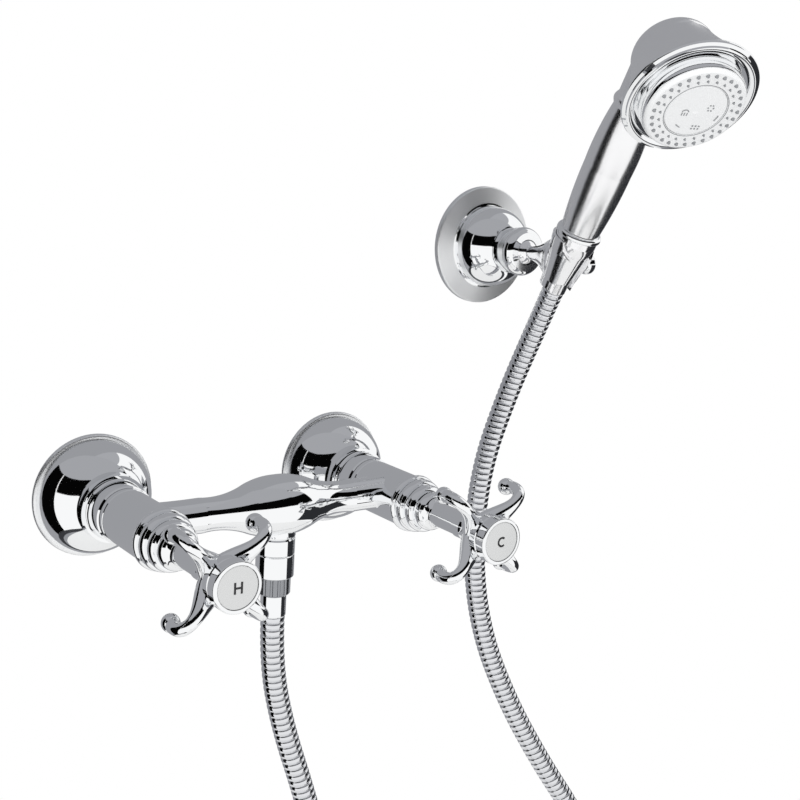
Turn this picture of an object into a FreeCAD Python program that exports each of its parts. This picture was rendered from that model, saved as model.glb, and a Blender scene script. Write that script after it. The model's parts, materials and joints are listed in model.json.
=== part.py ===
import FreeCAD, Part

import math
import os

import Sketcher

# Wall-mounted shower mixer with a ribbed hose, a wall bracket and a handset.
# Millimetres. X runs to the right, Y into the wall, Z up. The origin lies on the wall, midway
# between the two water inlets. "Out" means a distance from the wall towards the room.

Vector = FreeCAD.Vector

SIZES = [
    # Inlets
    ("inlet_centres", 150, "between the two inlets"),
    ("half_inch_thread", 10.48, "radius of a G 1/2 thread"),
    ("inlet_thread_length", 16, "thread inside the wall"),
    ("inlet_bore", 7, "water way through the connector"),
    ("connector_radius", 10.2, "plain part of the connector"),
    ("connector_length", 36, "wall to the connector's sealing face"),
    ("connector_collar", 12.4, "radius of the collar that the union nut pulls"),
    ("collar_thickness", 2.4, "thickness of that collar"),
    ("thread_play", 0.1, "radial play of a thread in its nut"),
    ("washer_thickness", 2, "sealing washers"),
    ("spigot_radius", 12.4, "threaded spigot of the mixer body"),
    # Wall flanges of the inlets
    ("flange_radius", 33.6, "outer radius"),
    ("flange_rim", 3.2, "height of the rolled rim"),
    ("flange_neck", 18.3, "radius of the neck"),
    ("flange_neck_length", 7, "front of the neck to the dome"),
    ("sheet_wall", 1.3, "wall of the pressed flanges"),
    ("union_radius", 15.5, "union nut"),
    ("union_lip", 2.4, "lip of the nut behind the connector's collar"),
    # Mixer body
    ("spigot_length", 6, "threaded spigot behind a housing"),
    ("bar_set_back", 22.3, "back of the housings to the axis of the bar and of the outlet"),
    ("bar_rise", 2.8, "height of the bar's axis over the inlets"),
    ("bulb_radius", 16.3, "radius of the bulb in the middle"),
    ("bulb_shoulder", 13.2, "radius of the bulb where it turns hollow"),
    ("waist_radius", 9.1, "thinnest radius of the bar"),
    ("bar_end_radius", 9.7, "radius of the bar at the housings"),
    ("bar_bore", 6, "water way in the bar"),
    ("housing_radius", 14.4, "valve housings"),
    ("housing_length", 40, "valve housing, back to front"),
    ("chamber_radius", 11, "bore that takes the valve"),
    ("chamber_wall", 14, "back of a housing to the floor of that bore"),
    # Valves
    ("fit", 0.05, "radial play of parts that turn in each other"),
    ("disc_radius", 9.4, "ceramic discs"),
    ("disc_thickness", 2.5, "each ceramic disc"),
    ("spindle_radius", 4, "valve spindle"),
    ("spline_radius", 3.4, "spindle end inside the handle"),
    ("valve_flange", 13.2, "flange of the valve on the housing"),
    ("valve_neck", 7.4, "neck of the valve"),
    ("valve_neck_length", 22, "front of the housing to the end of that neck"),
    ("sleeve_radius", 6.4, "sleeve round the spindle"),
    ("sleeve_length", 21.7, "end of the valve's neck to the end of the sleeve"),
    # Cross handles
    ("handle_gap", 0.3, "end of the sleeve to the back of the hub"),
    ("hub_back_radius", 7, "radius there"),
    ("hub_length", 21, "back of the hub to its cup"),
    ("hub_radius", 12.3, "cup that holds the index disc"),
    ("hub_cup_depth", 12, "cup, back to front"),
    ("index_radius", 10.3, "index disc"),
    ("index_thickness", 3.2, "index disc"),
    ("arm_reach", 29.8, "widest part of an arm from the handle's axis"),
    ("arm_rise", 1.6, "crest of an arm in front of the back of the cup"),
    ("arm_hook", 12.8, "crest of an arm to the centre of its tip"),
    ("arm_thickness", 3.1, "half thickness of a slim arm"),
    ("arm_root_width", 7.5, "half width of the web at the hub"),
    ("tip_radius", 4.4, "rounded tips"),
    ("screw_head", 3.8, "radius of a fixing screw's head"),
    ("screw_shank", 2, "radius of its shank"),
    # Outlet and lower end of the hose
    ("outlet_collar", 10.3, "radius of the outlet nipple and the hose nut"),
    ("outlet_top", 13.6, "depth of the spigot's lower face"),
    ("nipple_end", 22.7, "depth where the nipple's collar ends"),
    ("hose_thread", 8.33, "radius of a G 3/8 thread"),
    ("hose_thread_length", 6.4, "thread below the collar"),
    ("nipple_bore", 4.6, "water way of nipples and tails"),
    ("nut_end", 35.7, "depth of the hose nut's lower face"),
    ("grip_radius", 8.8, "fluted grip"),
    ("grip_end", 45.3, "depth of the grip's lower face"),
    ("flute_count", 14, "flutes round the grip"),
    ("flute_radius", 0.9, "each flute"),
    ("tail_radius", 6.1, "hose tail inside the nut"),
    ("ferrule_radius", 6.9, "ferrule over the hose's end"),
    ("ferrule_end", 58, "depth of the ferrule's lower face"),
    # Hose
    ("hose_radius", 6.5, "over the ribs"),
    ("rib_height", 0.55, "ribs over the valleys"),
    ("hose_bore", 4, "bore of the hose"),
    ("rib_count", 150, "ribs along the hose"),
    ("lower_straight", 26, "straight run of the hose under its ferrule"),
    ("upper_straight", 30, "straight run of the hose under the handset"),
    # Wall bracket
    ("bracket_right", 180, "bracket's axis, right of the origin"),
    ("bracket_up", 132, "bracket's axis, above the origin"),
    ("bracket_radius", 36, "bracket cover"),
    ("bracket_rim", 25, "radius where the flat rim meets the dome"),
    ("bracket_rim_out", 6.2, "out, where they meet"),
    ("dome_end", 28, "out, front of the dome"),
    ("dome_end_radius", 14, "radius there"),
    ("plate_radius", 20, "wall plate"),
    ("plate_thickness", 3, "wall plate"),
    ("post_radius", 9, "threaded post on the plate"),
    ("post_end", 14, "out, end of the post"),
    ("screw_centres", 29, "between the two wall screws"),
    ("wall_screw_shank", 2.2, "radius of a wall screw"),
    ("wall_screw_neck", 2.4, "radius of the screw inside the plate"),
    ("wall_screw_head", 3.9, "radius of its head"),
    ("wall_screw_length", 24, "part of the screw inside the wall"),
    ("neck_radius", 12.3, "neck that carries the ball seat"),
    ("neck_end", 36, "out, front of the neck"),
    ("seat_radius", 10.2, "ball seat"),
    ("seat_floor", 30, "out, floor of the seat's bore"),
    ("ball_radius", 8, "ball of the holder"),
    ("ball_out", 41, "out, centre of the ball"),
    ("collar_radius", 14.3, "clamping collar"),
    # Handset holder
    ("handset_out", 87, "out, foot of the handset"),
    ("handset_rise", 15.5, "height of that foot over the ball"),
    ("handset_lean", 26.5, "lean of the handset away from the wall, degrees"),
    ("cup_wall", 2, "wall of the cup"),
    ("cup_seat", 0.3, "gap between cone and cup"),
    ("cup_bottom", 36, "depth of the cup's lower edge under the foot"),
    ("cup_top", 3.6, "depth of the cup's upper edge under the foot"),
    ("slot_width", 15, "slot in the front of the cup"),
    ("arm_neck", 4.2, "radius of the arm at the ball"),
    ("knob_depth", 21, "depth of the clamp knob under the foot"),
    ("knob_radius", 6, "clamp knob"),
    ("knob_start", 14.3, "back of the knob from the handset's axis"),
    ("knob_thickness", 5.7, "clamp knob"),
    ("knob_stem", 2.2, "threaded stem of the knob"),
    # Conical nut and upper end of the hose
    ("cone_bottom", 38, "depth of the cone's lower end under the foot"),
    ("cone_start_radius", 6.9, "radius at its lower end"),
    ("cone_middle_depth", 12, "depth where the cone ends"),
    ("cone_middle_radius", 10.5, "radius there"),
    ("cone_top_radius", 12.2, "radius of its upper end"),
    ("upper_tail_radius", 4.9, "hose tail inside the cone"),
    ("upper_tail_flange", 8, "flange of that tail"),
    # Handset
    ("handset_turn", -15, "handset about its own axis, degrees"),
    ("foot_ring_radius", 13.2, "ring at the foot of the handle"),
    ("foot_ring_top", 2.4, "upper face of that ring"),
    ("handle_foot_radius", 11.2, "handle at the ring"),
    ("handle_belly_radius", 13.8, "handle at its widest"),
    ("handle_belly", 42, "distance of the widest place from the foot"),
    ("handle_top_radius", 11.9, "handle under the head"),
    ("handle_top", 78, "length of the handle"),
    ("handle_wall", 2, "wall of the handle and the head"),
    ("neck_ring_radius", 12.6, "ring between handle and head"),
    ("neck_ring_top", 85, "upper face of that ring"),
    ("water_tube_radius", 5.5, "tube inside the handle"),
    ("tube_wall", 1, "wall of that tube"),
    ("head_forward", 52, "centre of the spray face in front of the handle's axis"),
    ("head_along", 103, "centre of the spray face along the handle's axis"),
    ("head_droop", 17, "spray face below square to the handle, degrees"),
    ("head_depth", 53.5, "spray face to the back of the head"),
    ("bell_cap", 13, "back of the head to the edge of its cap"),
    ("bell_radius", 33.2, "front edge of the bell"),
    ("bell_edge", 13, "depth of that edge behind the face"),
    ("bezel_overhang", 2.1, "chrome ring outside the edge of the bell"),
    ("face_inset", 6.6, "spray plate inside the edge of the bell"),
    ("face_rise", 9, "spray plate in front of the chrome ring"),
    ("face_wall", 2.4, "thickness of the spray plate"),
    ("selector_inset", 10.5, "turning disc inside the edge of the spray plate"),
    ("outer_nozzle_inset", 4, "outer ring of nozzles inside that edge"),
    ("inner_nozzle_inset", 7.5, "inner ring of nozzles inside that edge"),
    ("gasket_play", 0.8, "gasket inside the wall of the bell"),
    ("outer_nozzle_count", 30, "nozzles in the outer ring"),
    ("inner_nozzle_count", 24, "nozzles in the inner ring"),
    ("outer_nozzle_radius", 0.95, "each nozzle at its root"),
    ("inner_nozzle_radius", 0.6, "each nozzle at its root"),
    ("nozzle_height", 0.9, "nozzles above the face"),
]


class Size:
    """A number that also carries the spreadsheet formula it comes from."""

    def __init__(self, number, formula):
        self.number = float(number)
        self.formula = formula

    def __add__(self, other):
        return join(self, "+", other, self.number + plain(other))

    def __radd__(self, other):
        return join(other, "+", self, plain(other) + self.number)

    def __sub__(self, other):
        return join(self, "-", other, self.number - plain(other))

    def __rsub__(self, other):
        return join(other, "-", self, plain(other) - self.number)

    def __mul__(self, other):
        return join(self, "*", other, self.number * plain(other))

    def __rmul__(self, other):
        return join(other, "*", self, plain(other) * self.number)

    def __truediv__(self, other):
        return join(self, "/", other, self.number / plain(other))

    def __neg__(self):
        return 0 - self


def plain(item):
    """The number behind a size, or a bare number as it is."""
    return item.number if isinstance(item, Size) else float(item)


def formula(item):
    """The text that a cell-bound property takes."""
    return item.formula if isinstance(item, Size) else repr(float(item))


def join(first, sign, second, number):
    return Size(number, f"({formula(first)} {sign} ({formula(second)}))")


def root(item):
    return Size(math.sqrt(plain(item)), f"sqrt({formula(item)})")


def sine(angle):
    return Size(math.sin(math.radians(plain(angle))), f"sin({formula(angle)})")


def cosine(angle):
    return Size(math.cos(math.radians(plain(angle))), f"cos({formula(angle)})")


doc = FreeCAD.newDocument("ShowerMixer")
sheet = doc.addObject("Spreadsheet::Sheet", "Sizes")
cells = {}
for row, (alias, number, meaning) in enumerate(SIZES, start=1):
    sheet.set(f"A{row}", meaning)
    sheet.set(f"B{row}", str(number))
    sheet.setAlias(f"B{row}", alias)
    cells[alias] = Size(number, f"Sizes.{alias}")
doc.recompute()


def size(alias):
    return cells[alias]


# Places

def place(x=0, y=0, z=0, about="x", angle=0):
    """Formula of a placement: a turn about one axis, then a shift."""
    axis = {"x": "1; 0; 0", "y": "0; 1; 0", "z": "0; 0; 1"}[about]
    shift = "; ".join(formula(part) for part in (x, y, z))
    return f"placement(vector({shift}); rotation(vector({axis}); {formula(angle)}))"


def datum(name, text):
    """A named frame that pieces are set on."""
    frame = doc.addObject("App::Placement", name)
    frame.setExpression("Placement", text)
    return f"{name}.Placement"


# A turned outline stands in the XZ plane, so that its axis is the piece's own Z.
UPRIGHT = place(about="x", angle=90)

# Distances from the wall, each counted on from the one before it

half_span = size("inlet_centres") / 2
collar_back = size("connector_length") - size("collar_thickness")
spigot_end = size("connector_length") + size("washer_thickness")
housing_back = spigot_end + size("spigot_length")
housing_front = housing_back + size("housing_length")
chamber_floor = housing_back + size("chamber_wall")
bar_out = housing_back + size("bar_set_back")
valve_neck_end = housing_front + size("valve_neck_length")
sleeve_end = valve_neck_end + size("sleeve_length")
handle_back = sleeve_end + size("handle_gap")

INLETS = {
    "hot": datum("hot_inlet", place(x=-half_span, about="x", angle=90)),
    "cold": datum("cold_inlet", place(x=half_span, about="x", angle=90)),
}
OUTLET = datum("outlet", place(y=-bar_out))
BRACKET = datum("bracket", place(x=size("bracket_right"), z=size("bracket_up"), about="x", angle=90))
HOLDER = datum("holder", place(x=size("bracket_right"), y=-size("handset_out"),
                               z=size("bracket_up") + size("handset_rise"),
                               about="x", angle=size("handset_lean")))
HANDSET = datum("handset", f"{HOLDER} * {place(about='z', angle=size('handset_turn'))}")
HEAD_ON_HANDLE = place(y=-size("head_forward"), z=size("head_along"), about="x",
                       angle=90 + size("head_droop"))
HEAD = datum("head", f"{HANDSET} * {HEAD_ON_HANDLE}")
doc.recompute()

# Drawing

pieces = []


def piece(label, frame):
    body = doc.addObject("PartDesign::Body", label)
    body.Label = label
    body.AllowCompound = True
    body.setExpression("Placement", frame)
    pieces.append(body)
    return body


def origin_feature(body, role):
    return next(item for item in body.Origin.OriginFeatures if item.Role == role)


class Curve:
    """The edge after a corner is an arc of this radius; a negative one is hollow."""

    def __init__(self, radius):
        self.radius = radius


def outline(body, corners, frame):
    """Closed outline, counterclockwise. A corner is (x, y), (x, y, bow) or (x, y, Curve).

    A bow is an arc's rise over half its chord, positive where the outline bulges.
    """
    sketch = body.newObject("Sketcher::SketchObject", "Outline")
    sketch.AttachmentSupport = [(origin_feature(body, "XY_Plane"), "")]
    sketch.MapMode = "FlatFace"
    sketch.setExpression("AttachmentOffset", frame)
    count = len(corners)
    edges = []
    radii = []
    turned_back = []
    for index, corner in enumerate(corners):
        following = corners[(index + 1) % count]
        start = Vector(plain(corner[0]), plain(corner[1]), 0)
        end = Vector(plain(following[0]), plain(following[1]), 0)
        if len(corner) == 2:
            edges.append(Part.LineSegment(start, end))
            radii.append(None)
            turned_back.append(False)
            continue
        chord = root((corner[0] - following[0]) * (corner[0] - following[0])
                     + (corner[1] - following[1]) * (corner[1] - following[1]))
        if isinstance(corner[2], Curve):
            hollow = plain(corner[2].radius) < 0
            radius = -corner[2].radius if hollow else corner[2].radius
            half = plain(chord) / 2
            rise = plain(radius) - math.sqrt(plain(radius) ** 2 - half ** 2)
            bow = -rise / half if hollow else rise / half
        else:
            bow = corner[2]
            radius = chord * ((1 + bow * bow) / (4 * abs(bow)))
        run = end - start
        middle = (start + end) * 0.5 + Vector(run.y, -run.x, 0) * (bow / 2)
        radii.append(radius)
        turned_back.append(bow < 0)
        if bow < 0:
            edges.append(Part.Arc(end, middle, start))
        else:
            edges.append(Part.Arc(start, middle, end))
    sketch.addGeometry(edges, False)
    bound = {}
    for index, corner in enumerate(corners):
        first = 2 if turned_back[index] else 1
        last = 1 if turned_back[index - 1] else 2
        sketch.addConstraint(Sketcher.Constraint("Coincident", (index - 1) % count, last, index, first))
        for kind, axis, value in (("DistanceX", -2, corner[0]), ("DistanceY", -1, corner[1])):
            if not isinstance(value, Size) and value == 0:
                sketch.addConstraint(Sketcher.Constraint("PointOnObject", index, first, axis))
                continue
            number = sketch.addConstraint(
                Sketcher.Constraint(kind, -1, 1, index, first, plain(value)))
            bound[number] = value
        if radii[index] is not None:
            number = sketch.addConstraint(Sketcher.Constraint("Radius", index, plain(radii[index])))
            bound[number] = radii[index]
    for number, value in bound.items():
        sketch.setExpression(f"Constraints[{number}]", formula(value))
    return sketch


def disc(body, x, y, radius, frame):
    """Full circle as a sketch."""
    sketch = body.newObject("Sketcher::SketchObject", "Circle")
    sketch.AttachmentSupport = [(origin_feature(body, "XY_Plane"), "")]
    sketch.MapMode = "FlatFace"
    sketch.setExpression("AttachmentOffset", frame)
    centre = Vector(plain(x), plain(y), 0)
    sketch.addGeometry(Part.Circle(centre, Vector(0, 0, 1), plain(radius)), False)
    bound = {sketch.addConstraint(Sketcher.Constraint("Radius", 0, plain(radius))): radius}
    for kind, axis, value in (("DistanceX", -2, x), ("DistanceY", -1, y)):
        if not isinstance(value, Size) and value == 0:
            sketch.addConstraint(Sketcher.Constraint("PointOnObject", 0, 3, axis))
            continue
        number = sketch.addConstraint(Sketcher.Constraint(kind, -1, 1, 0, 3, plain(value)))
        bound[number] = value
    for number, value in bound.items():
        sketch.setExpression(f"Constraints[{number}]", formula(value))
    return sketch


def feature(body, kind, sketch, **numbers):
    """Add a feature; its numbers are bound to their formulas."""
    item = body.newObject(f"PartDesign::{kind}", kind)
    item.Profile = sketch
    for name, value in numbers.items():
        item.setExpression(name, formula(value))
    return item


def revolve(body, corners, frame=UPRIGHT, cut=False):
    item = feature(body, "Groove" if cut else "Revolution", outline(body, corners, frame))
    item.ReferenceAxis = (item.Profile[0], ["V_Axis"])
    item.Angle = 360
    return removed(body, item) if cut else item


def removed(body, item):
    """A cut has to take something away."""
    before = item.BaseFeature
    doc.recompute()
    if item.Shape.Volume > before.Shape.Volume - 1e-3:
        raise ValueError(f"{body.Label}: {item.Name} cuts nothing")
    return item


def cut_through(body, sketch):
    item = feature(body, "Pocket", sketch)
    item.Type = "ThroughAll"
    item.SideType = "Symmetric"
    return removed(body, item)


def repeat_round(body, items, count, axis="Z_Axis"):
    pattern = body.newObject("PartDesign::PolarPattern", "Round")
    pattern.Originals = items
    pattern.Axis = (origin_feature(body, axis), [""])
    pattern.Angle = 360
    pattern.setExpression("Occurrences", formula(count))
    body.Tip = pattern
    return pattern


def turned(label, frame, corners):
    body = piece(label, frame)
    revolve(body, corners)
    return body


def tube(label, frame, bore, radius, bottom, top):
    return turned(label, frame, [(bore, bottom), (radius, bottom), (radius, top), (bore, top)])


def oval(half_width, half_height):
    """Four arcs through the ends of two axes."""
    quarter = math.tan(math.pi / 8)
    return [(half_width, 0, quarter), (0, half_height, quarter),
            (-half_width, 0, quarter), (0, -half_height, quarter)]


def loft(body, sketches):
    item = body.newObject("PartDesign::AdditiveLoft", "Loft")
    item.Profile = sketches[0]
    item.Sections = sketches[1:]
    return item


play = size("thread_play")
fit = size("fit")
thread = size("half_inch_thread")


# Inlets: a straight connector in the wall, its flange, the union nut and its washer

def inlet_pieces(side, frame):
    bore = size("inlet_bore")
    length = size("connector_length")
    collar = size("connector_collar")
    turned(f"inlet_connector_{side}", frame, [
        (bore, -size("inlet_thread_length")), (thread, -size("inlet_thread_length")), (thread, 0),
        (size("connector_radius"), 0), (size("connector_radius"), collar_back),
        (collar, collar_back), (collar, length), (bore, length)])

    wall = size("sheet_wall")
    outer = size("flange_radius")
    rim = size("flange_rim")
    neck = size("flange_neck")
    nut_back = collar_back - size("union_lip")
    front = nut_back - 0.2
    shoulder = front - size("flange_neck_length")
    turned(f"inlet_flange_{side}", frame, [
        (outer - wall, 0), (outer - 0.8, 0, 0.6), (outer - 1.6, rim), (outer - 2.6, rim, 0.25),
        (neck, shoulder, -0.1), (neck - 0.4, front), (thread + play, front),
        (thread + play, front - wall), (neck - wall - 0.4, front - wall, 0.1),
        (neck - wall, shoulder, -0.25), (outer - wall - 2.6, rim)])

    nut = size("union_radius")
    nut_front = housing_back - 0.4
    inside = size("spigot_radius") + play
    turned(f"union_nut_{side}", frame, [
        (thread + play, nut_back), (nut + 0.8, nut_back, -0.25), (nut, nut_back + 3.2),
        (nut, nut_front - 0.8), (nut - 0.8, nut_front), (inside, nut_front),
        (inside, collar_back), (thread + play, collar_back)])

    tube(f"inlet_washer_{side}", frame, bore + 1, collar, length, length + size("washer_thickness"))


for side, frame in INLETS.items():
    inlet_pieces(side, frame)


# Mixer body: one casting with two valve housings, a bar with a bulb, and the outlet spigot

def mixer_body():
    body = piece("mixer_body", place())
    back = housing_back
    front = housing_front
    spigot = size("spigot_radius")
    housing = size("housing_radius")
    rise = size("bar_rise")
    out = bar_out
    along_bar = f"{place(y=-out, z=rise, about='y', angle=90)} * {UPRIGHT}"
    waist = half_span * 0.6
    shoulder = half_span * 0.24
    revolve(body, [
        (0, -half_span), (size("bar_end_radius"), -half_span, -0.02),
        (size("waist_radius"), -waist, -0.14), (size("bulb_shoulder"), -shoulder, 0.1),
        (size("bulb_radius"), 0, 0.1), (size("bulb_shoulder"), shoulder, -0.14),
        (size("waist_radius"), waist, -0.02), (size("bar_end_radius"), half_span),
        (0, half_span)], along_bar)
    for centre in (-half_span, half_span):
        along_valve = f"{place(x=centre, about='x', angle=90)} * {UPRIGHT}"
        revolve(body, [
            (0, spigot_end), (spigot, spigot_end), (spigot, back), (housing + 0.3, back),
            (housing + 0.3, back + 3), (housing, back + 3.4), (housing, front), (0, front)],
            along_valve)
    below = f"{OUTLET} * {UPRIGHT}"
    top = size("outlet_top")
    collar = size("outlet_collar")
    revolve(body, [
        (0, -top), (collar - 0.3, -top), (collar + 0.2, -top + 0.8, -0.3),
        (collar + 4.6, rise - 5), (collar + 4.6, rise), (0, rise)], below)
    for centre in (-half_span, half_span):
        along_valve = f"{place(x=centre, about='x', angle=90)} * {UPRIGHT}"
        floor = chamber_floor
        chamber = size("chamber_radius")
        bore = size("inlet_bore")
        revolve(body, [
            (0, spigot_end - 1), (bore, spigot_end - 1), (bore, floor), (chamber, floor),
            (chamber, front + 1), (0, front + 1)], along_valve, cut=True)
    way = half_span - size("chamber_radius") + 2
    revolve(body, [
        (0, -way), (size("bar_bore"), -way), (size("bar_bore"), way), (0, way)],
        along_bar, cut=True)
    nipple = size("hose_thread") - 1.3 + play
    revolve(body, [
        (0, -top - 1), (nipple, -top - 1), (nipple, -2), (0, -2)], below, cut=True)
    return body


mixer_body()


# Valves: seal, two ceramic discs, the brass valve with its neck, the spindle and the bonnet

def sector(radius, inner, degrees):
    """Outline of a ring sector that straddles the X axis."""
    c = math.cos(math.radians(degrees / 2))
    s = math.sin(math.radians(degrees / 2))
    return [(inner * c, -inner * s), (radius * c, -radius * s, Curve(radius)),
            (radius * c, radius * s), (inner * c, inner * s, Curve(-inner))]


def ceramic_disc(label, frame, bottom, radius):
    body = tube(label, frame, 1.2, radius, bottom, bottom + size("disc_thickness"))
    port = outline(body, sector(radius - 1.8, size("spindle_radius") - 1.2, 76), place(z=bottom))
    cut_through(body, port)
    repeat_round(body, [body.Tip], 2)


def valve_pieces(side, frame):
    floor = chamber_floor
    front = housing_front
    chamber = size("chamber_radius")
    disc_radius = size("disc_radius")
    seal_top = floor + size("washer_thickness")
    tube(f"valve_seal_{side}", frame, size("inlet_bore") + 0.2, chamber - 0.3, floor, seal_top)
    ceramic_disc(f"fixed_disc_{side}", frame, seal_top, disc_radius)
    turning = seal_top + size("disc_thickness") + fit
    ceramic_disc(f"turning_disc_{side}", frame, turning, disc_radius - fit)
    foot = turning + size("disc_thickness") + fit
    foot_top = foot + 2

    skirt = chamber - play
    inside = disc_radius + fit
    spindle = size("spindle_radius")
    web = foot_top + fit
    neck = size("valve_neck")
    neck_end = valve_neck_end
    flange = size("valve_flange")
    flange_top = front + 4
    valve = turned(f"valve_body_{side}", frame, [
        (inside, seal_top), (skirt, seal_top), (skirt, front), (flange, front),
        (flange, flange_top), (neck, flange_top), (neck, neck_end), (spindle + fit, neck_end),
        (spindle + fit, web), (inside, web)])
    window = outline(valve, [(-3.4, foot - 2.4), (3.4, foot - 2.4), (3.4, web), (-3.4, web)],
                     place(about="x", angle=90))
    cut_through(valve, window)

    spline_start = handle_back + 10
    spline_end = spline_start + 8
    shank = size("screw_shank")
    turned(f"spindle_{side}", frame, [
        (0, foot), (disc_radius - 0.4, foot), (disc_radius - 0.4, foot_top), (spindle, foot_top),
        (spindle, spline_start), (size("spline_radius"), spline_start),
        (size("spline_radius"), spline_end), (shank + fit, spline_end),
        (shank + fit, spline_end - 11), (0, spline_end - 11)])

    ring = size("housing_radius") + 0.4
    sleeve = size("sleeve_radius")
    step = (neck_end - flange_top) / 3
    turned(f"bonnet_{side}", frame, [
        (flange + 0.15, front + 0.1), (ring, front + 0.1, 0.5), (ring, flange_top),
        (ring - 1, flange_top, 0.35), (ring - 1.4, flange_top + step),
        (ring - 2.6, flange_top + step, 0.35), (ring - 3.2, flange_top + 2 * step),
        (ring - 4.6, flange_top + 2 * step, 0.3), (neck + 1.5, neck_end, -0.3),
        (sleeve, neck_end + 4), (sleeve, sleeve_end),
        (spindle + 0.3, sleeve_end), (spindle + 0.3, neck_end + 0.2),
        (neck + 0.2, neck_end + 0.2), (neck + 0.2, flange_top + 0.1),
        (flange + 0.15, flange_top + 0.1)])


for side, frame in INLETS.items():
    valve_pieces(side, frame)


# Cross handles: hub with four curled arms, fixing screw and index disc

def cross_handle(side, frame):
    back = handle_back
    shoulder = back + size("hub_length")
    hub = size("hub_radius")
    front = shoulder + size("hub_cup_depth")
    spline_start = back + 10
    spline_end = spline_start + 8
    seat = front - size("index_thickness") - 0.3
    index = size("index_radius") + 0.1
    head = size("screw_head") + 0.3
    on_arms = f"{frame} * {place(about='z', angle=45)}"
    body = turned(f"cross_handle_{side}", on_arms, [
        (0, back), (size("hub_back_radius"), back), (size("hub_back_radius"), back + 6, -0.25),
        (hub - 0.8, shoulder), (hub - 0.8, shoulder + 4), (hub - 1.6, shoulder + 4.6),
        (hub - 1.6, shoulder + 5.8), (hub, shoulder + 6.4), (hub, front - 0.7, 0.4),
        (hub - 0.7, front), (0, front)])
    free = size("arm_reach") - hub
    crest = shoulder + size("arm_rise")
    hook = size("arm_hook")
    slim = size("arm_thickness")
    web = size("arm_root_width")
    # Each section of an arm: share of the free reach, share of the hook, climb in degrees,
    # half width and half thickness
    stations = [
        (-0.5, 0.64, 22, web, slim + 2.8),
        (-0.08, 0.35, 34, web * 0.8, slim + 1.9),
        (0.26, 0.12, 28, slim + 1.2, slim + 0.8),
        (0.555, 0, 6, slim + 0.2, slim),
        (0.81, 0.06, -32, slim, slim),
        (0.977, 0.36, -68, slim + 0.1, slim + 0.1),
        (0.98, 0.8, -98, slim + 0.4, slim + 0.4)]
    across = f"{place(about='y', angle=90)} * {place(about='z', angle=90)}"
    sections = []
    for share, drop, climb, half_width, half_height in stations:
        section = place(x=hub + free * share, z=crest - hook * drop, about="y", angle=-climb)
        sections.append(outline(body, oval(half_width, half_height), f"{section} * {across}"))
    arm = loft(body, sections)
    tip_radius = size("tip_radius")
    tip_place = place(x=hub + free * 0.96, z=crest - hook)
    ball = revolve(body, [(0, -tip_radius, Curve(tip_radius)), (tip_radius, 0, Curve(tip_radius)),
                          (0, tip_radius)], f"{tip_place} * {UPRIGHT}")
    repeat_round(body, [arm, ball], 4)
    spindle = size("spindle_radius") + 0.2
    spline = size("spline_radius") + fit
    shank = size("screw_shank") + 0.2
    revolve(body, [
        (0, back - 1), (spindle, back - 1), (spindle, spline_start), (spline, spline_start),
        (spline, spline_end + 0.4), (shank, spline_end + 0.4), (shank, spline_end + 2),
        (head, spline_end + 2), (head, shoulder + 2), (index - 2, shoulder + 2), (index - 2, seat),
        (index, seat), (index, front + 1), (0, front + 1)], cut=True)

    head_top = spline_end + 4.6
    turned(f"handle_screw_{side}", frame, [
        (0, spline_end - 10), (size("screw_shank"), spline_end - 10),
        (size("screw_shank"), spline_end + 2), (size("screw_head"), spline_end + 2),
        (size("screw_head"), head_top), (1.2, head_top), (1.2, head_top - 1.6),
        (0, head_top - 1.6)])
    radius = size("index_radius")
    turned(f"index_disc_{side}", frame, [
        (0, seat), (radius, seat), (radius, front - 0.7, 0.3), (radius - 0.6, front - 0.1),
        (0, front + 0.2)])


for side, frame in INLETS.items():
    cross_handle(side, frame)


# Outlet: nipple, washer, hose nut with its fluted grip, hose tail and ferrule

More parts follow.
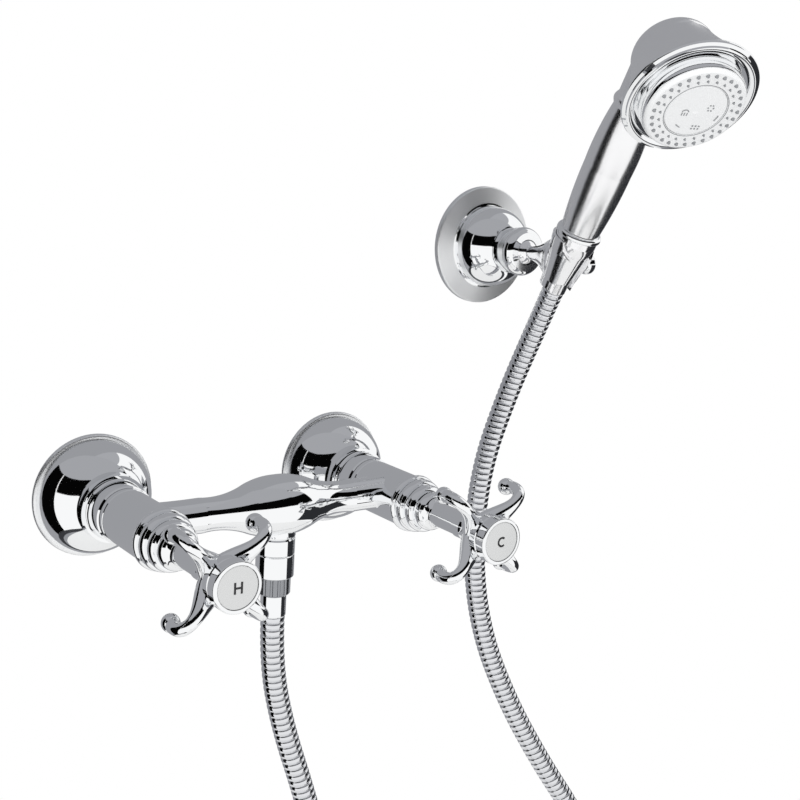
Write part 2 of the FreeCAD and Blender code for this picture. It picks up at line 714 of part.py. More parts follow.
def outlet_pieces():
    top = size("outlet_top")
    collar = size("outlet_collar")
    collar_end = size("nipple_end")
    hose_thread = size("hose_thread")
    thread_end = collar_end + size("hose_thread_length")
    bore = size("nipple_bore")
    upper = hose_thread - 1.3
    turned("outlet_nipple", OUTLET, [
        (bore, -thread_end), (hose_thread, -thread_end), (hose_thread, -collar_end),
        (collar, -collar_end), (collar, -top - 1), (collar - 0.6, -top), (upper, -top),
        (upper, -3), (bore, -3)])
    washer_end = thread_end + size("washer_thickness")
    tube("hose_washer", OUTLET, bore + 0.3, hose_thread - 0.1, -washer_end, -thread_end)
    flange_end = washer_end + 2.3
    tail = size("tail_radius")
    nut_end = size("nut_end")
    inside = hose_thread + play
    turned("hose_nut", OUTLET, [
        (tail + fit, -nut_end), (collar - 0.5, -nut_end), (collar, -nut_end + 0.5),
        (collar, -collar_end - 0.9), (collar - 0.5, -collar_end - 0.4), (inside, -collar_end - 0.4),
        (inside, -flange_end - fit), (tail + fit, -flange_end - fit)])
    grip = size("grip_radius")
    grip_end = size("grip_end")
    body = turned("nut_grip", OUTLET, [
        (tail + fit, -grip_end), (grip - 0.4, -grip_end), (grip, -grip_end + 0.5),
        (grip, -nut_end), (tail + fit, -nut_end)])
    flute = disc(body, grip + 0.3, 0, size("flute_radius"), place())
    cut_through(body, flute)
    repeat_round(body, [body.Tip], size("flute_count"))
    shoulder = grip_end + 0.4
    ferrule_end = size("ferrule_end")
    barb = size("hose_bore") + 0.4
    turned("hose_tail_lower", OUTLET, [
        (barb - 1, -ferrule_end + 2), (barb, -ferrule_end + 2), (barb, -shoulder), (tail, -shoulder),
        (tail, -flange_end), (hose_thread - 0.1, -flange_end), (hose_thread - 0.1, -washer_end),
        (barb - 1, -washer_end)])
    ferrule = size("ferrule_radius")
    turned("hose_ferrule", OUTLET, [
        (barb + fit, -ferrule_end), (ferrule - 0.4, -ferrule_end), (ferrule, -ferrule_end + 0.6),
        (ferrule, -shoulder - 0.6), (ferrule - 0.4, -shoulder), (barb + fit, -shoulder)])


outlet_pieces()


# Hose: the route is a list of points chosen by hand, with the two ends tied to their fittings

def hose_route():
    lean = math.radians(plain(size("handset_lean")))
    foot = Vector(plain(size("bracket_right")), -plain(size("handset_out")),
                  plain(size("bracket_up") + size("handset_rise")))
    along = Vector(0, -math.sin(lean), math.cos(lean))
    top = foot - along * plain(size("cone_bottom"))
    bottom = Vector(0, -plain(bar_out), -plain(size("ferrule_end")))
    free = [(8, -67, -122), (23, -71, -168), (38, -75, -222), (50, -77, -284), (57, -79, -352),
            (60, -80, -425), (85, -82, -468), (128, -84, -493), (179, -86, -493),
            (222, -88, -468), (247, -90, -425), (251, -92, -364), (248, -92, -308),
            (238, -91, -262), (219, -86, -224), (198, -75, -190), (177, -61, -148),
            (161, -49, -102), (156, -42, -52), (159, -41, 0), (173, -44, 46)]
    below = bottom - Vector(0, 0, plain(size("lower_straight")))
    above = top - along * plain(size("upper_straight"))
    return [bottom, below] + [Vector(*point) for point in free] + [above, top]


def rounded_path(points):
    """Straight runs joined by tangent arcs, each as large as its runs allow."""
    edges = []
    radii = []
    here = points[0]
    for before, corner, after in zip(points, points[1:], points[2:]):
        into = (before - corner).normalize()
        away = (after - corner).normalize()
        turn = math.pi - into.getAngle(away)
        cut = 0.45 * min((before - corner).Length, (after - corner).Length)
        radius = cut / math.tan(turn / 2)
        start = corner + into * cut
        end = corner + away * cut
        inward = (into + away).normalize()
        middle = corner + inward * (radius / math.cos(turn / 2) - radius)
        edges.append(Part.LineSegment(here, start).toShape())
        edges.append(Part.Arc(start, middle, end).toShape())
        radii.append(radius)
        here = end
    edges.append(Part.LineSegment(here, points[-1]).toShape())
    return Part.Wire(edges), radii


def ring_at(position, direction, radius):
    """Circle square to the route, its seam always on the same side."""
    across = Vector(0, 1, 0).cross(direction).normalize()
    turn = FreeCAD.Rotation(across, direction.cross(across), direction, "ZXY")
    circle = Part.Circle(Vector(0, 0, 0), Vector(0, 0, 1), radius).toShape()
    circle.Placement = FreeCAD.Placement(position, turn)
    return Part.Wire([circle])


def hose():
    path, radii = rounded_path(hose_route())
    length = path.Length
    radius = plain(size("hose_radius"))
    valley = radius - plain(size("rib_height"))
    count = int(plain(size("rib_count")))
    stations = [(0.0, valley), (2 * radius, valley)]
    pitch = (length - 4 * radius) / count
    for rib in range(count):
        start = 2 * radius + rib * pitch
        stations += [(start + 0.2 * pitch, valley), (start + 0.35 * pitch, radius),
                     (start + 0.8 * pitch, radius), (start + 0.95 * pitch, valley)]
    stations += [(length - 2 * radius, valley), (length, valley)]
    lengths = [edge.Length for edge in path.Edges]
    rings = []
    for distance, ring_radius in stations:
        index = 0
        rest = distance
        while index < len(lengths) - 1 and rest > lengths[index]:
            rest -= lengths[index]
            index += 1
        edge = path.Edges[index]
        at = edge.getParameterByLength(min(rest, lengths[index]))
        rings.append(ring_at(edge.valueAt(at), edge.tangentAt(at), ring_radius))
    skin = Part.makeLoft(rings, True, True)
    start_circle = Part.Wire([Part.Circle(path.Edges[0].valueAt(path.Edges[0].FirstParameter),
                                          path.Edges[0].tangentAt(path.Edges[0].FirstParameter),
                                          plain(size("hose_bore"))).toShape()])
    bore = path.makePipeShell([start_circle], True, False, 2)
    solid = skin.cut(bore)
    print(f"hose: length {length:.1f}, least bend radius {min(radii):.1f}, "
          f"radii {[round(item) for item in radii]}")
    expected = math.pi * (radius ** 2 - plain(size("hose_bore")) ** 2) * length
    print(f"hose: volume {solid.Volume:.0f}, plain tube {expected:.0f}")
    item = doc.addObject("Part::Feature", "shower_hose")
    item.Label = "shower_hose"
    item.Shape = solid
    pieces.append(item)


hose()


# Wall bracket: plate, screws, cover, neck, ball seat and clamping collar

def bracket_pieces():
    plate = size("plate_thickness")
    post = size("post_radius")
    post_end = size("post_end")
    reach = size("screw_centres") / 2
    shank = size("wall_screw_shank")
    head = size("wall_screw_head")
    body = turned("bracket_plate", BRACKET, [
        (0, 0), (size("plate_radius"), 0), (size("plate_radius"), plate), (post, plate),
        (post, post_end), (0, post_end)])
    screw_neck = size("wall_screw_neck")
    hole = disc(body, reach, 0, screw_neck + fit, place())
    cut_through(body, hole)
    repeat_round(body, [body.Tip], 2)

    screws = piece("bracket_screws", BRACKET)
    screw = revolve(screws, [
        (0, -size("wall_screw_length")), (shank, -size("wall_screw_length") + 3), (shank, 0),
        (screw_neck, 0.2), (screw_neck, plate), (head, plate, 0.3), (head - 1.2, plate + 2.2),
        (0, plate + 2.2)],
        f"{place(x=reach)} * {UPRIGHT}")
    repeat_round(screws, [screw], 2)

    wall = size("sheet_wall")
    outer = size("bracket_radius")
    rim = size("bracket_rim")
    rim_out = size("bracket_rim_out")
    dome_end = size("dome_end")
    mouth = size("dome_end_radius")
    neck = size("neck_radius")
    turned("bracket_cover", BRACKET, [
        (outer - wall, 0), (outer, 0), (outer, 2.4, 0.3), (outer - 1, 3.4), (rim, rim_out),
        (rim - 0.6, rim_out, 0.3), (mouth, dome_end), (neck + play, dome_end),
        (neck + play, dome_end - wall), (mouth - wall, dome_end - wall, -0.3),
        (rim - 0.6 - wall, rim_out - wall), (outer - wall - 1, 2)])

    neck_end = size("neck_end")
    seat = size("seat_radius")
    seat_floor = size("seat_floor")
    turned("bracket_neck", BRACKET, [
        (post + play, plate + 2.6), (neck, plate + 2.6), (neck, neck_end), (seat + fit, neck_end),
        (seat + fit, seat_floor), (0, seat_floor), (0, post_end), (post + play, post_end)])

    ball = size("ball_radius") + fit
    centre = size("ball_out")
    seat_top = centre - 1
    mouth_radius = root(ball * ball - (centre - seat_top) * (centre - seat_top))
    turned("ball_seat", BRACKET, [
        (0, seat_floor + fit), (seat, seat_floor + fit), (seat, seat_top),
        (mouth_radius, seat_top, Curve(-ball)), (0, centre - ball)])

    collar = size("collar_radius")
    lip = centre + 3
    lip_radius = root(ball * ball - 9) + 0.12
    turned("bracket_collar", BRACKET, [
        (neck + play, dome_end + 0.2), (collar - 0.8, dome_end + 0.2), (collar, lip - 6, 0.35),
        (collar - 2.6, lip + 0.6), (lip_radius, lip + 0.6), (lip_radius, lip),
        (root(ball * ball - 1) + 0.12, centre + 1), (seat + 0.3, seat_top + 0.3),
        (seat + 0.3, neck_end + 0.3), (neck + play, neck_end + 0.3)])


bracket_pieces()

# Holder: ball, arm and slotted cup in one, with a clamp knob

lean = size("handset_lean")
ball_back = size("handset_out") - size("ball_out")
ball_y = ball_back * cosine(lean) - size("handset_rise") * sine(lean)
ball_z = -(ball_back * sine(lean)) - size("handset_rise") * cosine(lean)
KNOB = f"{HOLDER} * {place(z=-size('knob_depth'), about='y', angle=90)}"


def handset_holder():
    body = piece("handset_holder", HOLDER)
    gap = size("cup_seat")
    wall = size("cup_wall")
    bottom = size("cup_bottom")
    top = size("cup_top")
    low = size("cone_start_radius") + 0.2 + gap
    middle = size("cone_middle_radius") + gap
    high = size("cone_top_radius") + gap
    middle_depth = size("cone_middle_depth")
    knee = size("cone_bottom") - 7
    ball = size("ball_radius")
    revolve(body, [(0, -ball, Curve(ball)), (ball, 0, Curve(ball)), (0, ball)],
            f"{place(y=ball_y, z=ball_z)} * {UPRIGHT}")
    neck = size("arm_neck")
    stations = [(3, 0, neck, neck), (10, 0, neck, neck + 0.2), (17, -0.3, neck + 1, neck + 2.6),
                (24, -1, neck + 3.2, neck + 7), (31, -1.8, neck + 4.6, neck + 9.6)]
    sections = []
    for out, up, half_width, half_height in stations:
        section = place(y=ball_y - out * cosine(lean) + up * sine(lean),
                        z=ball_z + out * sine(lean) + up * cosine(lean),
                        about="x", angle=90 - lean)
        sections.append(outline(body, oval(half_width, half_height), section))
    loft(body, sections)
    revolve(body, [(low, -bottom), (low + wall, -bottom), (low + wall + 0.3, -knee),
                   (middle + wall + 0.2, -middle_depth), (high + wall - 0.4, -top), (high, -top),
                   (high, -5), (middle, -middle_depth), (low, -knee)])
    start = size("knob_start")
    lug = f"{place(z=-size('knob_depth'), about='y', angle=90)} * {UPRIGHT}"
    revolve(body, [(0, middle), (5, middle), (4.2, start - 0.3), (0, start - 0.3)], lug)
    revolve(body, [(0, -bottom - 1), (low, -bottom - 1), (low, -knee), (middle, -middle_depth),
                   (high, -5), (high, 1), (0, 1)], cut=True)
    stem = size("knob_stem") + fit
    revolve(body, [(0, 4), (stem, 4), (stem, start), (0, start)], lug, cut=True)
    half_slot = size("slot_width") / 2
    past_cup = -2 * size("cone_top_radius")
    slot = outline(body, [(-half_slot, past_cup), (half_slot, past_cup), (half_slot, 0),
                          (-half_slot, 0)], place())
    cut_through(body, slot)
    scoop = disc(body, -high - 3, -top + 1, high - 1, f"{place(about='z', angle=90)} * {UPRIGHT}")
    cut_through(body, scoop)


handset_holder()
turned("clamp_knob", KNOB, [
    (0, size("cone_middle_radius") + 0.2), (size("knob_stem"), size("cone_middle_radius") + 0.2),
    (size("knob_stem"), size("knob_start")), (size("knob_radius") - 1.4, size("knob_start"), 0.2),
    (size("knob_radius"), size("knob_start") + 1.4),
    (size("knob_radius"), size("knob_start") + size("knob_thickness") - 1.6, 0.35),
    (size("knob_radius") - 1.8, size("knob_start") + size("knob_thickness")),
    (0, size("knob_start") + size("knob_thickness") + 0.4)])


# Upper end of the hose: tail, washer and the conical nut that sits in the cup

def cone_pieces():
    bottom = size("cone_bottom")
    low = size("cone_start_radius")
    middle = size("cone_middle_radius")
    middle_depth = size("cone_middle_depth")
    high = size("cone_top_radius")
    tail = size("upper_tail_radius")
    flange = size("upper_tail_flange")
    seat = middle_depth + 1.2
    flange_top = seat - 2.1
    washer_top = flange_top - size("washer_thickness")
    turned("hose_cone", HANDSET, [
        (tail + fit, -bottom), (low, -bottom), (low + 0.2, -bottom + 7), (middle, -middle_depth, 0.08),
        (high, -5), (high, -1), (thread + play, -1), (thread + play, -washer_top),
        (flange + play, -washer_top), (flange + play, -seat), (tail + fit, -seat)])
    bore = size("hose_bore") - 0.4
    turned("hose_tail_upper", HOLDER, [
        (bore, -bottom), (tail, -bottom), (tail, -seat + fit), (flange, -seat + fit),
        (flange, -flange_top), (bore, -flange_top)])
    tube("cone_washer", HANDSET, bore + 1, flange, -flange_top + fit, -washer_top)
    return washer_top


nipple_start = cone_pieces()


# Handset: nipple, foot ring, handle, inner tube, neck ring and head

def handle_pieces():
    foot = size("foot_ring_top")
    wall = size("handle_wall")
    low = size("handle_foot_radius")
    belly = size("handle_belly_radius")
    high = size("handle_top_radius")
    top = size("handle_top")
    tube_radius = size("water_tube_radius")
    bore = tube_radius - size("tube_wall")
    inside = low - wall
    socket_end = foot + 10
    taper_start = socket_end + 2
    turned("handle_nipple", HANDSET, [
        (bore, -nipple_start), (thread, -nipple_start), (thread, -0.9), (inside, -0.9),
        (inside, socket_end), (tube_radius, socket_end), (tube_radius, foot), (bore, foot)])
    ring = size("foot_ring_radius")
    turned("foot_ring", HANDSET, [
        (inside, -0.9), (ring - 0.6, -0.9, 0.4), (ring, 0.4, 0.3), (low + 0.8, foot),
        (inside, foot)])
    turned("handset_handle", HANDSET, [
        (inside, foot), (low, foot, 0.035), (belly, size("handle_belly"), 0.05), (high, top),
        (high - wall, top), (belly - wall, size("handle_belly")), (inside, taper_start)])
    neck_top = size("neck_ring_top")
    neck = size("neck_ring_radius")
    turned("neck_ring", HANDSET, [
        (high - wall, top), (high, top), (neck, top + 1.6, 0.3), (neck, neck_top - 1.6),
        (high - 0.2, neck_top), (high - wall, neck_top)])
    tube("water_tube", HANDSET, bore, tube_radius, foot, neck_top + 6)
    tube("tube_bush", HANDSET, tube_radius, high - wall - 0.05, neck_top - 4, neck_top)


handle_pieces()


# Head: bell, bezel, spray plate with its nozzles, selector and the parts behind them

def bell_outline(shrink):
    depth = size("head_depth")
    edge = size("bell_radius")
    waist = edge * 0.67
    crown = depth - 1.6
    shoulder = depth - size("bell_cap")
    return [(0, -depth + shrink), (waist * 0.6 - shrink, -crown + shrink, 0.32),
            (waist - shrink, -shoulder, -0.07), (edge - shrink, -size("bell_edge") - 1),
            (edge - shrink, -size("bell_edge")), (0, -size("bell_edge"))]


def head_pieces():
    wall = size("handle_wall")
    neck = size("handle_top_radius") - 0.2
    neck_top = size("neck_ring_top")
    on_head = f"{HEAD_ON_HANDLE} * {UPRIGHT}"
    bell = piece("head_bell", HANDSET)
    revolve(bell, bell_outline(0), on_head)
    revolve(bell, [(0, neck_top), (neck, neck_top), (neck, neck_top + 22), (0, neck_top + 22)])
    inner = bell_outline(wall)
    inner[-2] = (size("bell_radius") - wall, -size("bell_edge") + 1)
    inner[-1] = (0, -size("bell_edge") + 1)
    revolve(bell, inner, on_head, cut=True)
    revolve(bell, [(0, neck_top - 1), (neck - wall, neck_top - 1), (neck - wall, neck_top + 16),
                   (0, neck_top + 16)], cut=True)

    bell_edge = size("bell_radius")
    face = bell_edge - size("face_inset")
    edge = size("bell_edge")
    bezel = bell_edge + size("bezel_overhang")
    drop = size("face_rise")
    turned("bezel_ring", HEAD, [
        (face + 0.1, -edge), (bezel - 0.8, -edge), (bezel, -edge + 1.2, 0.3), (bezel, -edge + 3.4),
        (bezel - 1.7, -edge + 4), (bezel - 1.9, -edge + 5.2, 0.25), (face + 2.4, -drop),
        (face + 0.1, -drop - 0.2)])
    plate = size("face_wall")
    selector = face - size("selector_inset")
    outer_ring = face - size("outer_nozzle_inset")
    inner_ring = face - size("inner_nozzle_inset")
    back = drop + 2.3
    inside = face - plate
    spray = turned("spray_plate", HEAD, [
        (selector + 0.2, -plate), (inside, -plate), (inside, -back), (face, -back), (face, -drop),
        (face - 0.5, -1.8, 0.3), (face - 2.2, 0), (selector + 0.2, 0)])
    mat = turned("nozzle_mat", HEAD, [
        (selector + 0.2, -plate - 1), (inside - 0.6, -plate - 1), (inside - 0.6, -plate),
        (selector + 0.2, -plate)])
    for ring, count, radius in (
            (outer_ring, size("outer_nozzle_count"), size("outer_nozzle_radius")),
            (inner_ring, size("inner_nozzle_count"), size("inner_nozzle_radius"))):
        hole = disc(spray, ring, 0, radius + 0.1, place())
        cut_through(spray, hole)
        repeat_round(spray, [spray.Tip], count)
        nozzle = revolve(mat, [(0, -plate - 0.5), (radius, -plate - 0.5), (radius, 0),
                               (radius * 0.7, size("nozzle_height")), (0, size("nozzle_height"))],
                         f"{place(x=ring)} * {UPRIGHT}")
        repeat_round(mat, [nozzle], count)

    stem = selector * 0.25
    disc_top = back + 2.4
    turned("selector_disc", HEAD, [
        (0, -disc_top - 2.6), (stem, -disc_top - 2.6), (stem, -plate), (selector, -plate),
        (selector, -0.5, 0.3), (selector - 0.6, 0), (0, 0.25)])
    water = tube("water_plate", HEAD, stem + fit, face - 0.1, -disc_top, -back)
    hole = disc(water, outer_ring - 2, 0, 2, place())
    cut_through(water, hole)
    repeat_round(water, [water.Tip], 6)
    mode = tube("mode_disc", HEAD, stem, selector - 2, -disc_top - 2.6, -disc_top - fit)
    port = disc(mode, selector * 0.55, 0, 2.2, place())
    cut_through(mode, port)
    repeat_round(mode, [mode.Tip], 3)
    tube("head_gasket", HEAD, face + 0.4, bell_edge - wall - size("gasket_play"), -edge - 1.5, -edge)


head_pieces()

# Check and export

doc.recompute()
for item in doc.Objects:
    if "Invalid" in item.State or "Error" in item.State:
        raise ValueError(f"{item.Label}: {item.State}")
for item in pieces:
    if item.Shape.isNull() or not item.Shape.isValid():
        raise ValueError(f"{item.Label}: broken shape")

os.makedirs("parts", exist_ok=True)
for item in pieces:
    item.Shape.exportStep(f"parts/{item.Label}.step")
print(f"{len(pieces)} pieces")
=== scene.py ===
import json
import math

import bpy
from mathutils import Matrix, Vector


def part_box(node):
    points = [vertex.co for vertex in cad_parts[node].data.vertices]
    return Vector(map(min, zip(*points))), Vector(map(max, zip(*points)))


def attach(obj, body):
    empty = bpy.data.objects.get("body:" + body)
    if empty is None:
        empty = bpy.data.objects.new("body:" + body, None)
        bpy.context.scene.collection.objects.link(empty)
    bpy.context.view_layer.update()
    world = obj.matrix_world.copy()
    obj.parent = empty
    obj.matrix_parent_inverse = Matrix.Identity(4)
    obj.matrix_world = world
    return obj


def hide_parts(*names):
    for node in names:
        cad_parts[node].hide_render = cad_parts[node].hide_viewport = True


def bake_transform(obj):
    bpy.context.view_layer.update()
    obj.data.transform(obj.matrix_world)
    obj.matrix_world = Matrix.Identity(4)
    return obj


bl_info = {
    "name": "Shower mixer",
    "version": (1, 0, 0),
    "blender": (4, 5, 0),
    "location": "View3D > Sidebar > Shower mixer",
    "description": "Finishes, hose and markings of a wall-mounted shower mixer",
    "category": "Object",
}

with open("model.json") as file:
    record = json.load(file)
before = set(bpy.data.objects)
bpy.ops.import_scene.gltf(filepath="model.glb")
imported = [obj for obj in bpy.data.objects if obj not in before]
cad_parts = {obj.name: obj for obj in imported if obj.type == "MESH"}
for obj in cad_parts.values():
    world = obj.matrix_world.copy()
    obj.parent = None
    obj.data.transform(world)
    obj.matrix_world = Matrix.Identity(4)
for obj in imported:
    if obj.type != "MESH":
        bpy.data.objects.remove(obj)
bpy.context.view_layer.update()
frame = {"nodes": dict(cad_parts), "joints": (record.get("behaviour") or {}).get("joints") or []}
nodes = frame["nodes"]

# Places that the frame gives, in metres

FERRULE_LOW, FERRULE_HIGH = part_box("hose_ferrule")
HOSE_START = Vector(((FERRULE_LOW.x + FERRULE_HIGH.x) / 2, (FERRULE_LOW.y + FERRULE_HIGH.y) / 2,
                     FERRULE_LOW.z))
JOINTS = {joint["name"]: joint for joint in frame["joints"]}
HANDSET_AXIS = Vector(JOINTS["handset_turn"]["axis"]).normalized()
HANDSET_FOOT = Vector(JOINTS["handset_turn"]["pos_m"])
FACE_NORMAL = Vector(JOINTS["spray_select"]["axis"]).normalized()
FACE_CENTRE = Vector(JOINTS["spray_select"]["pos_m"])
# The hose ends in its conical nut, this far below the foot of the handset
CONE_DEPTH = 0.038
HOSE_END = HANDSET_FOOT - HANDSET_AXIS * CONE_DEPTH


# Sizes and colours that a user would change

class HoseSettings(bpy.types.PropertyGroup):
    diameter: bpy.props.FloatProperty(
        name="Diameter", description="Over the wound metal strip", default=0.013,
        subtype="DISTANCE", unit="LENGTH")
    pitch: bpy.props.FloatProperty(
        name="Pitch", description="From one turn of the strip to the next", default=0.0037,
        subtype="DISTANCE", unit="LENGTH")
    groove: bpy.props.FloatProperty(
        name="Groove", description="Depth between two turns", default=0.0006,
        subtype="DISTANCE", unit="LENGTH")


class FinishSettings(bpy.types.PropertyGroup):
    chrome: bpy.props.StringProperty(
        name="Chrome", description="Colour of the plating as sRGB hex", default="F7F8F9")
    plated: bpy.props.StringProperty(
        name="Plated plastic", description="Colour of the handset's plating as sRGB hex",
        default="FAFAFB")
    enamel: bpy.props.StringProperty(
        name="Enamel", description="Colour of the index discs as sRGB hex", default="CDCECE")
    plastic: bpy.props.StringProperty(
        name="Spray face", description="Colour of the spray face as sRGB hex", default="F6F7F8")
    ink: bpy.props.StringProperty(
        name="Marks", description="Colour of the letters on the index discs", default="1A1A1C")


# Small helpers

def linear(hex_colour):
    """sRGB hex to the linear colour that shaders take."""
    parts = [int(hex_colour[i:i + 2], 16) / 255 for i in (0, 2, 4)]
    return [c / 12.92 if c <= 0.04045 else ((c + 0.055) / 1.055) ** 2.4 for c in parts] + [1.0]


def add_node(material, kind, settings=None, links=None):
    """Adds a shader node; settings are its properties or input values, links its input links."""
    node = material.node_tree.nodes.new(kind)
    for name, value in (settings or {}).items():
        if name in node.inputs:
            node.inputs[name].default_value = value
        else:
            setattr(node, name, value)
    for name, source in (links or {}).items():
        material.node_tree.links.new(source, node.inputs[name])
    return node


def new_material(name):
    material = bpy.data.materials.new(name)
    material.use_nodes = True
    material.node_tree.nodes.clear()
    return material


def finish_material(material, shader):
    add_node(material, "ShaderNodeOutputMaterial", links={"Surface": shader.outputs[0]})
    return material


def mesh_piece(name, vertices, faces, material, smooth=True):
    mesh = bpy.data.meshes.new(name)
    mesh.from_pydata(vertices, [], faces)
    mesh.validate()
    mesh.update()
    for polygon in mesh.polygons:
        polygon.use_smooth = smooth
    item = bpy.data.objects.new(name, mesh)
    bpy.context.scene.collection.objects.link(item)
    item.data.materials.append(material)
    return item


def dress(material, *names):
    """Gives CAD nodes their finish."""
    for name in names:
        item = nodes[name]
        item.data.materials.clear()
        item.data.materials.append(material)


def both(name):
    """The hot and the cold node of a pair."""
    return f"{name}_hot", f"{name}_cold"


def front_of(node, normal, place):
    """How far a CAD node reaches along a direction from a place."""
    item = nodes[node]
    return max((item.matrix_world @ vertex.co - place).dot(normal) for vertex in item.data.vertices)


# Materials

def per_metre(spacing_mm):
    """Scale of a pattern whose features lie this far apart."""
    return 1000 / spacing_mm


# Height of the waves in a polished casting
WAVE_HEIGHT_MM = 0.4


def metal(name, colour, low, high, grain_mm, wave_mm=0, wave_strength=0.02, coat=0.0):
    """A metal: its roughness goes from low to high between grains that lie grain_mm apart, and
    its surface may wave as polished castings do and lie under a clear coat."""
    material = new_material(name)
    place = add_node(material, "ShaderNodeTexCoord")
    grain = add_node(material, "ShaderNodeTexNoise",
                     {"Scale": per_metre(grain_mm), "Detail": 3.0},
                     {"Vector": place.outputs["Object"]})
    rough = add_node(material, "ShaderNodeMapRange", {"To Min": low, "To Max": high},
                     {"Value": grain.outputs["Fac"]})
    links = {"Roughness": rough.outputs["Result"]}
    if wave_mm:
        wave = add_node(material, "ShaderNodeTexNoise",
                        {"Scale": per_metre(wave_mm), "Detail": 1.0},
                        {"Vector": place.outputs["Object"]})
        bump = add_node(material, "ShaderNodeBump",
                        {"Strength": wave_strength, "Distance": WAVE_HEIGHT_MM / 1000},
                        {"Height": wave.outputs["Fac"]})
        links["Normal"] = bump.outputs["Normal"]
    shader = add_node(material, "ShaderNodeBsdfPrincipled",
                      {"Base Color": linear(colour), "Metallic": 1.0, "Coat Weight": coat},
                      links)
    return finish_material(material, shader)


# Width in metres of the edge between the mirror of a dome and its satin rim
RIM_EDGE = 0.0008


def soften_rim(material, item, radius, roughness):
    """Turns a mirror satin beyond a radius about the wall's axis through an object."""
    corners = [Vector(corner) for corner in item.bound_box]
    middle = sum(corners, Vector()) / len(corners)
    shader = next(node for node in material.node_tree.nodes if node.type == "BSDF_PRINCIPLED")
    mirror = shader.inputs["Roughness"].links[0].from_socket
    place = add_node(material, "ShaderNodeTexCoord")
    offset = add_node(material, "ShaderNodeVectorMath", {"operation": "SUBTRACT"})
    offset.inputs[1].default_value = middle
    flat = add_node(material, "ShaderNodeVectorMath", {"operation": "MULTIPLY"})
    flat.inputs[1].default_value = (1, 0, 1)
    reach = add_node(material, "ShaderNodeVectorMath", {"operation": "LENGTH"})
    beyond = add_node(material, "ShaderNodeMapRange",
                      {"From Min": radius, "From Max": radius + RIM_EDGE})
    mixed = add_node(material, "ShaderNodeMix", {"B": roughness}, {"A": mirror})
    links = material.node_tree.links
    links.new(place.outputs["Object"], offset.inputs[0])
    links.new(offset.outputs[0], flat.inputs[0])
    links.new(flat.outputs[0], reach.inputs[0])
    links.new(reach.outputs["Value"], beyond.inputs["Value"])
    links.new(beyond.outputs["Result"], mixed.inputs["Factor"])
    links.new(mixed.outputs["Result"], shader.inputs["Roughness"])


# Grain of moulded and fired surfaces: how far apart, and how much darker
GRAIN_MM = 2.5
MOTTLE = 0.02


def moulded(name, colour, low, high, coat=0.0):
    """A non-metal with a fine surface, faintly mottled: rubber, plastic, enamel or ceramic."""
    material = new_material(name)
    place = add_node(material, "ShaderNodeTexCoord")
    grain = add_node(material, "ShaderNodeTexNoise",
                     {"Scale": per_metre(GRAIN_MM), "Detail": 3.0},
                     {"Vector": place.outputs["Object"]})
    rough = add_node(material, "ShaderNodeMapRange", {"To Min": low, "To Max": high},
                     {"Value": grain.outputs["Fac"]})
    tint = linear(colour)
    darker = [channel * (1 - MOTTLE) for channel in tint[:3]] + [1.0]
    shade = add_node(material, "ShaderNodeMix",
                     {"data_type": "RGBA"}, {"Factor": grain.outputs["Fac"]})
    # Sockets 6 and 7 of a Mix node are its two colours; their names repeat those of its numbers.
    shade.inputs[6].default_value = darker
    shade.inputs[7].default_value = tint
    shader = add_node(material, "ShaderNodeBsdfPrincipled", {"Coat Weight": coat},
                      {"Roughness": rough.outputs["Result"], "Base Color": shade.outputs[2]})
    return finish_material(material, shader)


# Hose

# The hose's route in millimetres, the points between its two fittings
HOSE_ROUTE_MM = [
    (8, -67, -122), (23, -71, -168), (38, -75, -222), (50, -77, -284), (57, -79, -352),
    (60, -80, -425), (85, -82, -468), (128, -84, -493), (179, -86, -493), (222, -88, -468),
    (247, -90, -425), (251, -92, -364), (248, -92, -308), (238, -91, -262), (219, -86, -224),
    (198, -75, -190), (177, -61, -148), (161, -49, -102), (156, -42, -52), (159, -41, 0),
    (173, -44, 46)]

# Straight stretches in metres at the ferrule and at the conical nut
LOWER_STRAIGHT = 0.026
UPPER_STRAIGHT = 0.03

# Length of hose in metres that is left above each end of a stretch, from the lowest
LEFT_ABOVE = (0.53, 0.18, 0.09, 0)

# One turn of the strip: share of the pitch, and depth in metres under the outer radius. The
# bottom of the groove behind it lies between the two shares of GROOVE_SHARES.
STRIP_PROFILE = [(0.0, 0.0003), (0.12, 0.0001), (0.3, 0), (0.5, 0), (0.68, 0.0001), (0.8, 0.0003)]
GROOVE_SHARES = (0.83, 0.97)
STRIP_EDGE = STRIP_PROFILE[0][1]
HOSE_SIDES = 40
LINE_POINTS_PER_SPAN = 24
PATH_STEPS = 200


def route_line(name, points):
    """Points along the smooth line through a route, evenly close."""
    curve = bpy.data.curves.new(name, "CURVE")
    curve.dimensions = "3D"
    spline = curve.splines.new("NURBS")
    spline.points.add(len(points) - 1)
    for target, point in zip(spline.points, points):
        target.co = (*point, 1.0)
    spline.order_u = 3
    spline.use_endpoint_u = True
    spline.resolution_u = LINE_POINTS_PER_SPAN
    item = bpy.data.objects.new(name, curve)
    bpy.context.scene.collection.objects.link(item)
    bpy.context.view_layer.update()
    mesh = bpy.data.meshes.new_from_object(item)
    line = [vertex.co.copy() for vertex in mesh.vertices]
    bpy.data.objects.remove(item)
    bpy.data.curves.remove(curve)
    bpy.data.meshes.remove(mesh)
    return line


def walk(line):
    """Distance of each point of a line from its start."""
    reached = [0.0]
    for before, after in zip(line, line[1:]):
        reached.append(reached[-1] + (after - before).length)
    return reached


